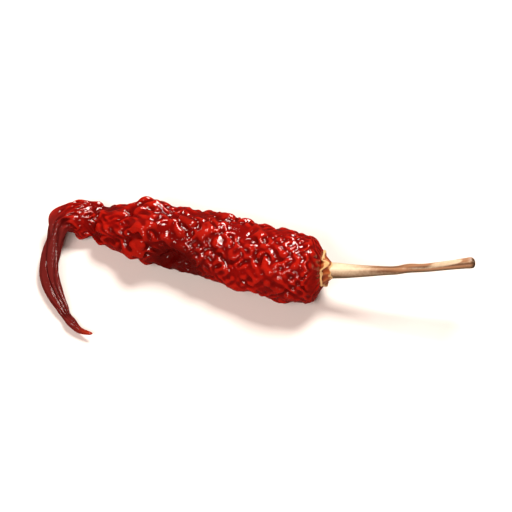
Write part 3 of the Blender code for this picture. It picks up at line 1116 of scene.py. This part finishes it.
@dataclass
class StemStalk:
    """The stalk: a fibrous, tapered stem that flows out of the calyx and ends in a small scar."""

    pod: PodSkin
    calyx: CalyxCup
    finish: StrawStalk = field(default_factory=StrawStalk)
    length: float = 34.5
    half_width: float = 1.1
    sides: int = 72
    rings: int = 300
    start_sink: float = 1.5
    root_round: float = 0.4  # length over which the hidden root rounds off
    end_round: float = 0.8  # and the picked end
    fibre_depth: float = 0.077
    fibre_pitch: float = 1.2
    fibre_size: float = 1.1
    fibre_stretch: float = 16.0  # how many times longer than wide a fibre is
    fibre_sway: float = 0.15
    sway_length: float = 3.0
    knot_depth: float = 0.09
    knot_size: float = 2.6
    lit_turn: float = 0.35  # how far the side painted pale as light is turned from the top, in radians
    lit_pale_to: tuple[float, float] = (4.0, 17.0)  # mm from the root: all painted pale on top, and no longer so
    patches_from: tuple[float, float] = (0.55, 0.75)  # share of the length: first patches, and full ones
    streak_strength: float = 0.16
    patch_strength: float = 0.9
    underside_shade_strength: float = 0.85
    scar_length: float = 1.2
    scar_strength: float = 0.85
    heading: Table = ((0.0, -8.5), (0.3, -7.0), (0.6, -3.0), (1.0, -0.5))
    climb: Table = ((0.0, 10.0), (0.3, 11.5), (0.6, 12.5), (1.0, 14.0))
    girth: Table = (
        (0.0, 1.74), (0.06, 1.70), (0.12, 1.56), (0.25, 1.30), (0.38, 1.06), (0.48, 0.96), (0.65, 0.93),
        (0.85, 1.00), (0.93, 1.12), (0.97, 1.18), (1.0, 1.02),
    )

    @property
    def whole(self) -> float:
        """The stalk's length with its root in the calyx."""
        return self.length + self.start_sink

    def line(self) -> np.ndarray:
        """Bends the centre line out of the calyx's neck.

        Returns:
            Its points.
        """
        crown = self.pod.form.crown_frame(self.pod.row_shift())
        neck = self.calyx.neck_height - self.pod.form.crown_drop(self.calyx.neck_radius)
        start = np.array(crown @ Vector((0.0, 0.0, neck - self.start_sink)))
        count = self.rings - 1
        middles = (np.arange(count) + 0.5) / count
        heading, climb = read_curve(self.heading, middles), read_curve(self.climb, middles)
        return walk(start, heading, climb, self.whole / count)

    def wall(self, radius: np.ndarray, angle: np.ndarray) -> np.ndarray:
        """Stands a ring at each point of the centre line.

        Args:
            radius: The wall's distance from the line, for each corner of each ring.
            angle: The corner's angle round the line, in radians.

        Returns:
            One row of points for each ring.
        """
        line = self.line()
        tangent = np.gradient(line, axis=0)
        tangent /= np.linalg.norm(tangent, axis=1)[:, None]
        side = np.cross(UPWARD, tangent)
        side /= np.linalg.norm(side, axis=1)[:, None]
        up = np.cross(tangent, side)
        across = np.cos(angle)[..., None] * side[:, None] + np.sin(angle)[..., None] * up[:, None]
        return line[:, None] + radius[..., None] * across

    def marks(
        self, rolled: np.ndarray, fibre: np.ndarray, along: np.ndarray, angle: np.ndarray
    ) -> dict[str, np.ndarray]:
        """Marks the stalk for its colours.

        Args:
            rolled: Where each point lies in the fibres' own space.
            fibre: How far the fibre under each point stands out.
            along: Each point's distance from the root.
            angle: Its angle round the line, in radians.

        Returns:
            The marks by name, each with a value for each point.
        """
        # Painted light and shade: how far each point faces up; it paints the top pale, the underside
        # grey, and the fibres a little lighter on top
        upward = np.sin(angle + self.lit_turn)
        streak = swell(75, rolled * np.array([1.6, 1.6, 0.8]), 1.1)
        near = (1 - ease(*self.lit_pale_to, along)) * ease(-0.2, 0.8, upward)
        near = near + self.streak_strength * streak
        # Pale patches on the upper side towards the end: partly bleaching, partly painted highlight
        patch = swell(74, rolled * np.array([1.0, 1.0, 4.0]), 1.6)
        patch = ease(0.2, 1.2, patch) * ease(0.0, 0.7, upward)
        far = self.patch_strength * patch * ease(*self.patches_from, along / self.whole)
        return {
            "pale": np.clip(near + far, 0.0, 1.0),
            # The fibres' tone, painted a little lighter on the upper side as light
            "fibre": np.clip(0.5 + 0.3 * fibre + 0.2 * upward, 0.0, 1.0),
            "scar": self.scar_strength * ease(self.scar_length, 0.1, self.whole - along),
            # Painted shade: the underside is painted grey
            "under": self.underside_shade_strength * ease(0.25, -0.75, upward),
        }

    def build(self) -> bpy.types.Object:
        """Makes the stem.

        Returns:
            The piece that stands for the CAD's stem.
        """
        share = np.arange(self.rings) / (self.rings - 1)
        angle = np.tile(np.radians(ring_angles(self.sides)), (self.rings, 1))
        along = np.tile(share[:, None] * self.whole, (1, self.sides))
        lengthwise = along / self.fibre_stretch + self.fibre_sway * np.sin(along / self.sway_length)
        rolled = np.stack((np.cos(angle), np.sin(angle), lengthwise), axis=2)
        fibre = swell(72, self.fibre_pitch * rolled, self.fibre_size)
        knots = swell(73, rolled * np.array([1.0, 1.0, 5.0]), self.knot_size)
        radius = (read_curve(self.girth, share) * self.half_width)[:, None]
        radius = radius + self.fibre_depth * fibre + self.knot_depth * knots
        end = np.clip((self.whole - along) / self.end_round, 0.0, 1.0)
        begin = np.clip(along / self.root_round, 0.0, 1.0)
        wall = self.wall(radius * dome(end) * dome(begin), angle)
        mesh = tube_mesh("stem_stalk", wall, self.marks(rolled, fibre, along, angle))
        return set_piece("stem_stalk", mesh, self.finish.material(), "stem")


# ---------------------------------------------------------------- studio


@dataclass(frozen=True)
class SoftBox:
    """A square studio lamp that is turned to the pepper."""

    place: tuple[float, float, float]
    size: float
    power: float  # in watts
    tone: str
    mirrored: bool  # whether gloss shows it


class Lamp(Enum):
    """The studio's lamps."""

    KEY = SoftBox((150.0, 320.0, 560.0), 240.0, 6.5, "#FFF8F0", True)
    FILL = SoftBox((-330.0, -360.0, 460.0), 300.0, 3.4, "#FFEDE6", False)
    GLINT = SoftBox((-90.0, -380.0, 430.0), 90.0, 0.8, "#FFF4EC", True)


@dataclass
class Studio:
    """A pale floor, soft lamps and the camera."""

    floor_size: float = 6000.0
    elevation: float = 55.0
    lens: float = 180.0
    frame_width: float = 124.0  # what the frame takes in at the pepper's distance
    daylight: float = 0.25
    daylight_tone: str = "#C08478"
    card: PaleCard = field(default_factory=PaleCard)

    def lay_floor(self) -> None:
        """Lays the floor under the pepper."""
        build = bmesh.new()
        bmesh.ops.create_grid(build, x_segments=1, y_segments=1, size=self.floor_size / 2 * MM)
        mesh = bpy.data.meshes.new("floor")
        build.to_mesh(mesh)
        build.free()
        mesh.materials.append(self.card.material())
        floor = bpy.data.objects.new("floor", mesh)
        floor.visible_glossy = False  # a black flag: the pale floor would veil the red in the creases
        bpy.context.scene.collection.objects.link(floor)

    def hang_lamps(self) -> None:
        """Hangs each lamp, and turns it to the pepper."""
        for lamp in Lamp:
            box = lamp.value
            light = bpy.data.lights.new(lamp.name.lower(), "AREA")
            light.size = box.size * MM
            light.energy = box.power
            light.color = linear(box.tone)[:3]
            holder = bpy.data.objects.new(lamp.name.lower(), light)
            holder.location = Vector(box.place) * MM
            holder.rotation_euler = (-Vector(box.place)).to_track_quat("-Z", "Y").to_euler()
            holder.visible_glossy = box.mirrored
            bpy.context.scene.collection.objects.link(holder)
        world = bpy.data.worlds.new("daylight")
        world.use_nodes = True
        sky = world.node_tree.nodes["Background"]
        sky.inputs["Color"].default_value = linear(self.daylight_tone)
        sky.inputs["Strength"].default_value = self.daylight
        bpy.context.scene.world = world

    def set_camera(self) -> None:
        """Sets the camera above the viewer's edge of the floor, looking down at the pepper."""
        low, high = CAD_BOX
        camera = bpy.data.cameras.new("camera")
        camera.lens = self.lens
        lift = math.radians(self.elevation)
        back = Vector((0.0, -math.cos(lift), math.sin(lift)))
        distance = self.frame_width * MM * self.lens / camera.sensor_width
        holder = bpy.data.objects.new("camera", camera)
        holder.location = (low + high) / 2 + back * distance
        holder.rotation_euler = (-back).to_track_quat("-Z", "Y").to_euler()
        bpy.context.scene.collection.objects.link(holder)
        bpy.context.scene.camera = holder

    def build(self) -> None:
        """Sets up the whole studio."""
        self.lay_floor()
        self.hang_lamps()
        self.set_camera()
        bpy.context.scene.view_settings.view_transform = "Standard"


def main() -> None:
    """Builds the pepper and its studio."""
    logging.basicConfig(level=logging.INFO, format="%(message)s")
    pod = PodSkin()
    pod.build()
    calyx = CalyxCup(pod)
    calyx.build()
    StemStalk(pod, calyx).build()
    Studio().build()


if __name__ == "__main__":
    main()
